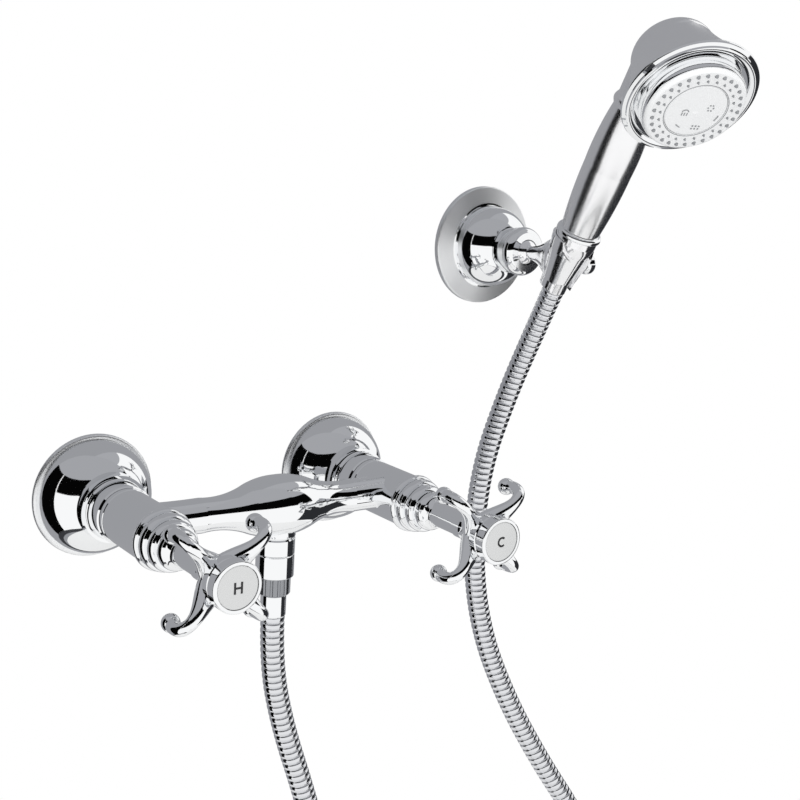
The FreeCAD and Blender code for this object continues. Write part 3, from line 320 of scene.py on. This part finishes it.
def along(line, reached, distance):
    """Place and direction at a distance along a line."""
    low, high = 0, len(reached) - 1
    while high - low > 1:
        middle = (low + high) // 2
        if reached[middle] <= distance:
            low = middle
        else:
            high = middle
    span = max(reached[high] - reached[low], 1e-9)
    share = min(max((distance - reached[low]) / span, 0.0), 1.0)
    place = line[low].lerp(line[high], share)
    before = (line[low + 1] - line[low]).normalized()
    following = min(high + 1, len(line) - 1)
    after = (line[following] - line[following - 1]).normalized()
    return place, before.lerp(after, share).normalized()


def hose_stretch(name, line, first, last, pitch, material):
    """Turns first to last of the wound hose: each turn of the strip is a rounded band with a
    narrow groove behind it."""
    settings = bpy.context.scene.mixer_hose
    radius = settings.diameter / 2
    groove = radius - settings.groove
    reached = walk(line)
    profile = [(share, radius - depth) for share, depth in STRIP_PROFILE]
    profile += [(share, groove) for share in GROOVE_SHARES]
    stations = [((turn + share) * pitch, ring) for turn in range(first, last)
                for share, ring in profile]
    stations.append((last * pitch, radius - STRIP_EDGE))
    steady = Vector((0, 1, 0))
    vertices = []
    for distance, ring in stations:
        place, direction = along(line, reached, distance)
        across = steady.cross(direction).normalized()
        upward = direction.cross(across)
        for side in range(HOSE_SIDES):
            angle = 2 * math.pi * side / HOSE_SIDES
            vertices.append(place + across * (ring * math.cos(angle))
                            + upward * (ring * math.sin(angle)))
    faces = []
    for row in range(len(stations) - 1):
        low = row * HOSE_SIDES
        high = low + HOSE_SIDES
        for side in range(HOSE_SIDES):
            following = (side + 1) % HOSE_SIDES
            faces.append((low + side, low + following, high + following, high + side))
    faces.append(tuple(reversed(range(HOSE_SIDES))))
    top = (len(stations) - 1) * HOSE_SIDES
    faces.append(tuple(top + side for side in range(HOSE_SIDES)))
    item = mesh_piece(name, vertices, faces, material)
    item.data.polygons[-1].use_smooth = False
    item.data.polygons[-2].use_smooth = False
    path = [along(line, reached, first * pitch + step * (last - first) * pitch / PATH_STEPS)[0]
            for step in range(PATH_STEPS + 1)]
    return item, path


class MIXER_OT_hose(bpy.types.Operator):
    """Wind the metal hose along its route and split it where the holder bends it"""
    bl_idname = "mixer.hose"
    bl_label = "Shower hose"

    def execute(self, context):
        # Interlocked chrome-plated brass strip: bright flat turns with dark, narrow grooves.
        material = metal("chromed_strip", "E2E3E6", 0.03, 0.09, 4)
        points = [HOSE_START, HOSE_START - Vector((0, 0, LOWER_STRAIGHT))]
        points += [Vector(point) / 1000 for point in HOSE_ROUTE_MM]
        points += [HOSE_END - HANDSET_AXIS * UPPER_STRAIGHT, HOSE_END]
        line = route_line("hose_line", points)
        length = walk(line)[-1]
        turns = round(length / context.scene.mixer_hose.pitch)
        pitch = length / turns
        cuts = [0] + [turns - round(left / pitch) for left in LEFT_ABOVE]
        stretches = [
            ("hose_lower", "mixer", None),
            ("hose_swivel_stretch", "mixer", "ball_seat"),
            ("hose_tilt_stretch", "ball_seat", "holder"),
            ("hose_top", "holder", "hose_end")]
        for (name, body, next_body), first, last in zip(stretches, cuts, cuts[1:]):
            item, path = hose_stretch(name, line, first, last, pitch, material)
            if next_body:
                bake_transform(item)
            else:
                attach(item, body)
            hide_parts("shower_hose")
        return {"FINISHED"}


# Finishes of the CAD nodes

class MIXER_OT_metalwork(bpy.types.Operator):
    """Chrome plate, brass and steel on the metal pieces"""
    bl_idname = "mixer.metalwork"
    bl_label = "Metalwork"

    def execute(self, context):
        finish = context.scene.mixer_finish
        # Chrome plate over polished brass: a cool mirror, with a faint polishing haze and the
        # long waves of a hand-polished casting.
        chrome = metal("polished_chrome_plate", finish.chrome, 0.02, 0.06, 11, wave_mm=16)
        dress(chrome, *both("inlet_connector"), *both("union_nut"), "mixer_body",
              *both("bonnet"), *both("cross_handle"), "outlet_nipple", "hose_nut",
              "hose_ferrule", "bracket_collar", "clamp_knob", "foot_ring", "bezel_ring")
        # Pressed flanges and the bracket's cover: a mirror on the dome, a brushed satin rim.
        for name, rim, roughness in (("inlet_flange_hot", 0.0305, 0.36),
                                     ("inlet_flange_cold", 0.0305, 0.36),
                                     ("bracket_cover", 0.0256, 0.42)):
            pressed = metal("pressed_chrome_" + name, finish.chrome, 0.03, 0.07, 11, wave_mm=16)
            soften_rim(pressed, nodes[name], rim, roughness)
            dress(pressed, name)
        # Chrome plate over cast zinc, as on the holder and the nut in it: a little softer.
        cast = metal("chrome_plated_zinc", finish.plated, 0.1, 0.17, 9, wave_mm=14,
                     wave_strength=0.03)
        dress(cast, "handset_holder", "hose_cone")
        # Chrome plate over moulded ABS, as on handsets: it follows the fine grain of the mould,
        # so that what it mirrors has soft edges, under a lacquer that adds crisp thin lines.
        plated = metal("chrome_plated_abs", finish.plated, 0.2, 0.25, 9, wave_mm=14,
                       wave_strength=0.05, coat=1.0)
        dress(plated, "handset_handle", "neck_ring", "head_bell")
        # Fluted grip: plate over matt-turned brass, dark and soft.
        dress(metal("satin_chrome_plate", "9B9DA1", 0.22, 0.36, 1.2), "nut_grip")
        # Machined brass of the hidden water parts: yellow, lightly turned.
        brass = metal("machined_brass", "C8A45C", 0.25, 0.4, 2)
        dress(brass, *both("valve_body"), *both("spindle"), "bracket_neck", "hose_tail_lower",
              "hose_tail_upper", "handle_nipple")
        # Stainless steel of plate and screws: grey with a rolled, slightly dull surface.
        steel = metal("stainless_steel", "B8B9BA", 0.25, 0.42, 1.6)
        dress(steel, "bracket_plate", "bracket_screws", *both("handle_screw"))
        return {"FINISHED"}


class MIXER_OT_plastics(bpy.types.Operator):
    """Rubber, ceramic, nylon, enamel and plastic on the other pieces"""
    bl_idname = "mixer.plastics"
    bl_label = "Plastics and seals"

    def execute(self, context):
        finish = context.scene.mixer_finish
        # Black moulded rubber: matt, with a faint bloom.
        dress(moulded("moulded_rubber", "1C1C1D", 0.55, 0.75), *both("inlet_washer"),
              *both("valve_seal"), "hose_washer", "cone_washer", "tube_bush", "head_gasket")
        # Polished alumina: cold white with a wet shine.
        dress(moulded("polished_alumina", "F0EEE8", 0.08, 0.16), *both("fixed_disc"),
              *both("turning_disc"))
        # Natural nylon: milky, satin.
        dress(moulded("natural_nylon", "DEDBD2", 0.35, 0.5), "ball_seat")
        # Fired enamel on the index discs: flat white under a glassy coat.
        dress(moulded("fired_enamel", finish.enamel, 0.12, 0.2, coat=0.5), *both("index_disc"))
        # Injection-moulded ABS of the spray face: white, semi-gloss.
        dress(moulded("moulded_abs", finish.plastic, 0.22, 0.34, coat=0.15), "spray_plate",
              "selector_disc")
        # Silicone nozzles: grey, satin.
        dress(moulded("moulded_silicone", "9C9EA1", 0.4, 0.55), "nozzle_mat")
        # Acetal of the hidden water parts: off-white, dull.
        dress(moulded("moulded_acetal", "D6D4CC", 0.4, 0.55), "water_tube", "water_plate",
              "mode_disc")
        return {"FINISHED"}


# Chrome sleeve round the side of the spray plate

# Section of the sleeve: radius and depth behind the face in millimetres
SLEEVE_MM = [(26.62, 9.6), (26.95, 9.6), (27.05, 8.4), (27.05, 6.4), (26.95, 4.6), (26.75, 3.2),
             (26.4, 2.3), (26.15, 2.1), (26.3, 2.8), (26.62, 4.2)]


def turned_ring(name, profile, centre, axis, material, sides=96):
    """A closed ring: the outline of its section, as radius and depth in mm, goes round an axis."""
    across = axis.orthogonal().normalized()
    upward = axis.cross(across)
    vertices = []
    for side in range(sides):
        angle = 2 * math.pi * side / sides
        outward = across * math.cos(angle) + upward * math.sin(angle)
        vertices += [centre + outward * radius / 1000 - axis * depth / 1000
                     for radius, depth in profile]
    count = len(profile)
    faces = [(side * count + step, ((side + 1) % sides) * count + step,
              ((side + 1) % sides) * count + (step + 1) % count,
              side * count + (step + 1) % count)
             for side in range(sides) for step in range(count)]
    return mesh_piece(name, vertices, faces, material)


# How far in metres the selector stands proud of the spray plate
SELECTOR_PROUD = 0.00025


def face_plane():
    """Middle of the spray plate's front."""
    reach = front_of("selector_disc", FACE_NORMAL, FACE_CENTRE) - SELECTOR_PROUD
    return FACE_CENTRE + FACE_NORMAL * reach


class MIXER_OT_sleeve(bpy.types.Operator):
    """Bright sleeve that hides the side of the spray plate"""
    bl_idname = "mixer.sleeve"
    bl_label = "Sleeve of the spray plate"

    def execute(self, context):
        # Chrome plate over a thin pressed ring: a bright mirror that shows every edge nearby.
        bright = metal("chromed_sleeve", context.scene.mixer_finish.chrome, 0.05, 0.1, 6)
        sleeve = turned_ring("face_sleeve", SLEEVE_MM, face_plane(), FACE_NORMAL, bright)
        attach(sleeve, "handset")
        return {"FINISHED"}


# Printed marks and the painted shade of the gap round the selector

# Thickness of the ink in metres
PRINT_THICKNESS = 0.00006

# Places of the signs and of two short arcs on the selector, in millimetres and degrees
DROPS_PLACE = (-5.6, -1.4)
RAIN_PLACE = (7.0, 2.6)
JETS_PLACE = (4.0, -10.5)
SHORT_ARCS = [(11.9, 0.5, -128, -112), (13.4, 0.5, -24, -8)]

# Painted shade of the gap round the selector, a grey ring: radius and width in millimetres
SELECTOR_GAP_SHADE = (16.75, 0.4)


def arc_band(radius, width, start, end, steps=24):
    """Outline in millimetres of a band along an arc, angles in degrees."""
    angles = [math.radians(start + (end - start) * step / steps) for step in range(steps + 1)]
    outer = [((radius + width / 2) * math.cos(a), (radius + width / 2) * math.sin(a))
             for a in angles]
    inner = [((radius - width / 2) * math.cos(a), (radius - width / 2) * math.sin(a))
             for a in reversed(angles)]
    return outer + inner


def bar(x, y, width, height):
    """Outline in millimetres of an upright bar about its middle."""
    return [(x - width / 2, y - height / 2), (x + width / 2, y - height / 2),
            (x + width / 2, y + height / 2), (x - width / 2, y + height / 2)]


def dot(x, y, radius, sides=10):
    """Outline in millimetres of a round dot."""
    turns = [2 * math.pi * side / sides for side in range(sides)]
    return [(x + radius * math.cos(a), y + radius * math.sin(a)) for a in turns]


def moved(outline, x, y):
    """An outline shifted by x and y."""
    return [(px + x, py + y) for px, py in outline]


def print_marks(name, outlines, place, across, upward, material, body):
    """A thin layer of ink on the plane of across and upward; outlines are in millimetres."""
    outward = across.cross(upward)
    vertices = []
    faces = []
    for outline in outlines:
        count = len(outline)
        first = len(vertices)
        for lift in (0.0, PRINT_THICKNESS):
            vertices += [place + (across * x + upward * y) / 1000 + outward * lift
                         for x, y in outline]
        faces.append(tuple(first + count + step for step in range(count)))
        faces.append(tuple(first + count - 1 - step for step in range(count)))
        faces += [(first + step, first + (step + 1) % count,
                   first + count + (step + 1) % count, first + count + step)
                  for step in range(count)]
    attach(mesh_piece(name, vertices, faces, material, smooth=False), body)


class MIXER_OT_marks(bpy.types.Operator):
    """Letters on the index discs and the three small signs of the spray patterns"""
    bl_idname = "mixer.marks"
    bl_label = "Printed marks"

    def execute(self, context):
        # Printing ink: a dry, dark film, a little shinier than paper.
        ink = moulded("printing_ink", context.scene.mixer_finish.ink, 0.35, 0.5)
        letter_h = [bar(-1.7, 0, 1.0, 5.4), bar(1.7, 0, 1.0, 5.4), bar(0, 0, 2.4, 0.95)]
        letter_c = [arc_band(2.2, 1.0, 48, 312)]
        for node, letter, body in (("index_disc_hot", letter_h, "hot_handle"),
                                   ("index_disc_cold", letter_c, "cold_handle")):
            low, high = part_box(node)
            place = Vector(((low.x + high.x) / 2, low.y, (low.z + high.z) / 2))
            print_marks("letter_" + body, letter, place, Vector((1, 0, 0)), Vector((0, 0, 1)),
                        ink, body)
        # Pale grey pad printing on the spray face; the same grey paints the shade in the gap round
        # the selector.
        grey = moulded("pad_printing_and_gap_shade", "8E9093", 0.4, 0.55)
        across = Vector((0, 0, 1)).cross(FACE_NORMAL).normalized()
        upward = FACE_NORMAL.cross(across)
        face = FACE_CENTRE + FACE_NORMAL * front_of("selector_disc", FACE_NORMAL, FACE_CENTRE)
        rain = [dot(1.5 * math.cos(a), 1.9 * math.sin(a), 0.45)
                for a in (math.radians(60 * step) for step in range(6))]
        drops = [arc_band(1.9, 0.5, 20, 160)] + [bar(x, -0.9, 0.5, 1.9) for x in (-1.4, 0, 1.4)]
        jets = [dot(x, y, 0.5) for x in (-1.8, 0, 1.8) for y in (-0.9, 0.9)]
        outlines = [moved(item, *DROPS_PLACE) for item in drops]
        outlines += [moved(item, *RAIN_PLACE) for item in rain]
        outlines += [moved(item, *JETS_PLACE) for item in jets]
        outlines += [arc_band(*arc) for arc in SHORT_ARCS]
        print_marks("spray_signs", outlines, face, across, upward, grey, "spray_selector")
        # Painted shade in the gap round the selector, a hair short of a full turn, so that the
        # band's two ends don't share their corners.
        print_marks("painted_selector_gap_shade", [arc_band(*SELECTOR_GAP_SHADE, 0, 359.9, steps=72)], face_plane(),
                    across, upward, grey, "handset")
        return {"FINISHED"}


# Stage, light and camera

# Camera fitted to the photograph: direction and roll in degrees, distance and target in metres
CAMERA_AZIMUTH = -36.3
CAMERA_ELEVATION = 11.7
CAMERA_ROLL = 3.4
CAMERA_DISTANCE = 0.812
CAMERA_TARGET = Vector((0.1247, 0, 0.0367))
CAMERA_LENS = 59.4
SENSOR = 36

# Floor: its middle and radius in metres
FLOOR_CENTRE = Vector((0.1, -0.1, -0.512))
FLOOR_RADIUS = 0.44

# Point in metres that screens and lamps stand around, and how far away
STAGE_CENTRE = Vector((0.09, -0.08, 0.05))
SCREEN_DISTANCE = 1.7
LAMP_DISTANCE = 1.5

# Lamps: azimuth and elevation in degrees, side in metres, power in watts
LAMPS = [
    ("key_light", -60, 45, 1.0, 9),
    ("low_light", -20, -25, 1.0, 8),
    ("right_light", 50, 20, 1.2, 4)]

# Screens of the studio: from and to azimuth, from and to elevation in degrees, and their grey.
# Azimuth 0 is straight in front of the wall, 90 to its right. Each screen is a curved grid, with
# about SCREEN_GRID degrees from line to line.
SCREEN_GRID = 6
SCREENS = [
    ("screen_ceiling", (-130, 60), (34, 90), "A6A7AB"),
    ("screen_ceiling_right", (60, 115), (50, 90), "A9AAAE"),
    ("screen_back", (115, 230), (-50, 90), "9C9DA1"),
    ("screen_left_black", (-130, -95), (-50, 34), "050505"),
    ("screen_front_black", (-93, 60), (6, 34), "050505"),
    ("screen_right_dark", (44, 115), (-44, -2), "2C2D30"),
    ("screen_under_edge", (-180, 180), (-56, -50), "3A3B3E"),
    ("screen_under", (-180, 180), (-90, -56), "96979B")]


def camera_axes(azimuth, elevation, roll):
    """Right, up and back of something that looks at the stage from a direction in degrees."""
    azimuth, elevation, roll = (math.radians(item) for item in (azimuth, elevation, roll))
    back = Vector((math.sin(azimuth) * math.cos(elevation),
                   -math.cos(azimuth) * math.cos(elevation), math.sin(elevation)))
    right = Vector((math.cos(azimuth), math.sin(azimuth), 0))
    up = back.cross(right)
    return (right * math.cos(roll) + up * math.sin(roll),
            up * math.cos(roll) - right * math.sin(roll), back)


def add_camera():
    right, up, back = camera_axes(CAMERA_AZIMUTH, CAMERA_ELEVATION, CAMERA_ROLL)
    camera = bpy.data.cameras.new("camera")
    camera.lens = CAMERA_LENS
    camera.sensor_width = SENSOR
    camera.clip_start = 0.01
    item = bpy.data.objects.new("camera", camera)
    bpy.context.scene.collection.objects.link(item)
    turn = Matrix((right, up, back)).transposed().to_4x4()
    item.matrix_world = Matrix.Translation(CAMERA_TARGET + back * CAMERA_DISTANCE) @ turn
    bpy.context.scene.camera = item


def add_screen(name, azimuths, elevations, colour):
    """A curved studio screen that only reflections see, between two directions in degrees."""
    material = new_material(name)
    shader = add_node(material, "ShaderNodeEmission",
                      {"Color": linear(colour), "Strength": 1.0})
    finish_material(material, shader)
    columns = max(2, round(abs(azimuths[1] - azimuths[0]) / SCREEN_GRID))
    rows = max(2, round(abs(elevations[1] - elevations[0]) / SCREEN_GRID))
    vertices = []
    for row in range(rows + 1):
        elevation = elevations[0] + (elevations[1] - elevations[0]) * row / rows
        for column in range(columns + 1):
            azimuth = azimuths[0] + (azimuths[1] - azimuths[0]) * column / columns
            outward = camera_axes(azimuth, elevation, 0)[2]
            vertices.append(STAGE_CENTRE + outward * SCREEN_DISTANCE)
    wide = columns + 1
    faces = [(row * wide + column, row * wide + column + 1,
              (row + 1) * wide + column + 1, (row + 1) * wide + column)
             for row in range(rows) for column in range(columns)]
    item = mesh_piece(name, vertices, faces, material, smooth=False)
    item.visible_camera = False
    item.visible_diffuse = False
    item.visible_shadow = False
    item.visible_transmission = False


def add_floor(sides=64):
    angles = [2 * math.pi * side / sides for side in range(sides)]
    corners = [FLOOR_CENTRE + FLOOR_RADIUS * Vector((math.cos(a), math.sin(a), 0))
               for a in angles]
    mesh_piece("floor", corners, [tuple(range(sides))], floor_board(), smooth=False)


def add_lamp(name, azimuth, elevation, size, power):
    """A soft square lamp that metal doesn't mirror."""
    right, up, back = camera_axes(azimuth, elevation, 0)
    light = bpy.data.lights.new(name, "AREA")
    light.shape = "SQUARE"
    light.size = size
    light.energy = power
    item = bpy.data.objects.new(name, light)
    bpy.context.scene.collection.objects.link(item)
    turn = Matrix((right, up, back)).transposed().to_4x4()
    item.matrix_world = Matrix.Translation(STAGE_CENTRE + back * LAMP_DISTANCE) @ turn
    item.visible_glossy = False


def seen_rays(tree_owner):
    """1 for what the camera, metal or glass sees, 0 for the light on matt surfaces."""
    rays = add_node(tree_owner, "ShaderNodeLightPath")
    links = tree_owner.node_tree.links
    seen = rays.outputs["Is Camera Ray"]
    for name in ("Is Glossy Ray", "Is Transmission Ray"):
        either = add_node(tree_owner, "ShaderNodeMath", {"operation": "MAXIMUM"})
        links.new(seen, either.inputs[0])
        links.new(rays.outputs[name], either.inputs[1])
        seen = either.outputs[0]
    return seen


def floor_board():
    # Painted board: white and matt; half of what is seen is its own white, so that it is as
    # pale as the room and keeps a soft shadow.
    material = new_material("painted_board")
    paint = add_node(material, "ShaderNodeBsdfPrincipled",
                     {"Base Color": linear("F6F6F5"), "Roughness": 0.7})
    glow = add_node(material, "ShaderNodeEmission", {"Color": (1, 1, 1, 1), "Strength": 1.0})
    share = add_node(material, "ShaderNodeMapRange", {"To Min": 0.0, "To Max": 0.5},
                     {"Value": seen_rays(material)})
    mixed = add_node(material, "ShaderNodeMixShader", {}, {"Fac": share.outputs["Result"]})
    material.node_tree.links.new(paint.outputs[0], mixed.inputs[1])
    material.node_tree.links.new(glow.outputs[0], mixed.inputs[2])
    return finish_material(material, mixed)


def studio_world():
    """White room: the camera and the metal see white, the light on matt surfaces is softer."""
    world = bpy.data.worlds.new("studio")
    bpy.context.scene.world = world
    world.use_nodes = True
    world.node_tree.nodes.clear()
    strength = add_node(world, "ShaderNodeMapRange", {"To Min": 0.6, "To Max": 1.0},
                        {"Value": seen_rays(world)})
    shader = add_node(world, "ShaderNodeBackground", {"Color": (1, 1, 1, 1)},
                      {"Strength": strength.outputs["Result"]})
    add_node(world, "ShaderNodeOutputWorld", links={"Surface": shader.outputs[0]})


class MIXER_OT_stage(bpy.types.Operator):
    """Pale floor, studio light, reflection cards and the camera"""
    bl_idname = "mixer.stage"
    bl_label = "Stage"

    def execute(self, context):
        studio_world()
        for screen in SCREENS:
            add_screen(*screen)
        add_floor()
        for lamp in LAMPS:
            add_lamp(*lamp)
        add_camera()
        context.scene.view_settings.view_transform = "Standard"
        return {"FINISHED"}


OPERATORS = (MIXER_OT_metalwork, MIXER_OT_plastics, MIXER_OT_hose, MIXER_OT_sleeve,
             MIXER_OT_marks, MIXER_OT_stage)


class MIXER_PT_panel(bpy.types.Panel):
    """Shows the settings of the hose and the finishes, and a button for each step"""
    bl_idname = "MIXER_PT_panel"
    bl_label = "Shower mixer"
    bl_space_type = "VIEW_3D"
    bl_region_type = "UI"
    bl_category = "Shower mixer"

    def draw(self, context):
        for settings in (context.scene.mixer_hose, context.scene.mixer_finish):
            for name in settings.bl_rna.properties.keys():
                if name not in ("rna_type", "name"):
                    self.layout.prop(settings, name)
        for operator in OPERATORS:
            self.layout.operator(operator.bl_idname)


CLASSES = (HoseSettings, FinishSettings, *OPERATORS, MIXER_PT_panel)


def register():
    for item in CLASSES:
        bpy.utils.register_class(item)
    bpy.types.Scene.mixer_hose = bpy.props.PointerProperty(type=HoseSettings)
    bpy.types.Scene.mixer_finish = bpy.props.PointerProperty(type=FinishSettings)


def unregister():
    del bpy.types.Scene.mixer_finish
    del bpy.types.Scene.mixer_hose
    for item in reversed(CLASSES):
        bpy.utils.unregister_class(item)


def main():
    register()
    bpy.ops.mixer.metalwork()
    bpy.ops.mixer.plastics()
    bpy.ops.mixer.hose()
    bpy.ops.mixer.sleeve()
    bpy.ops.mixer.marks()
    bpy.ops.mixer.stage()


if __name__ == "__main__":
    main()
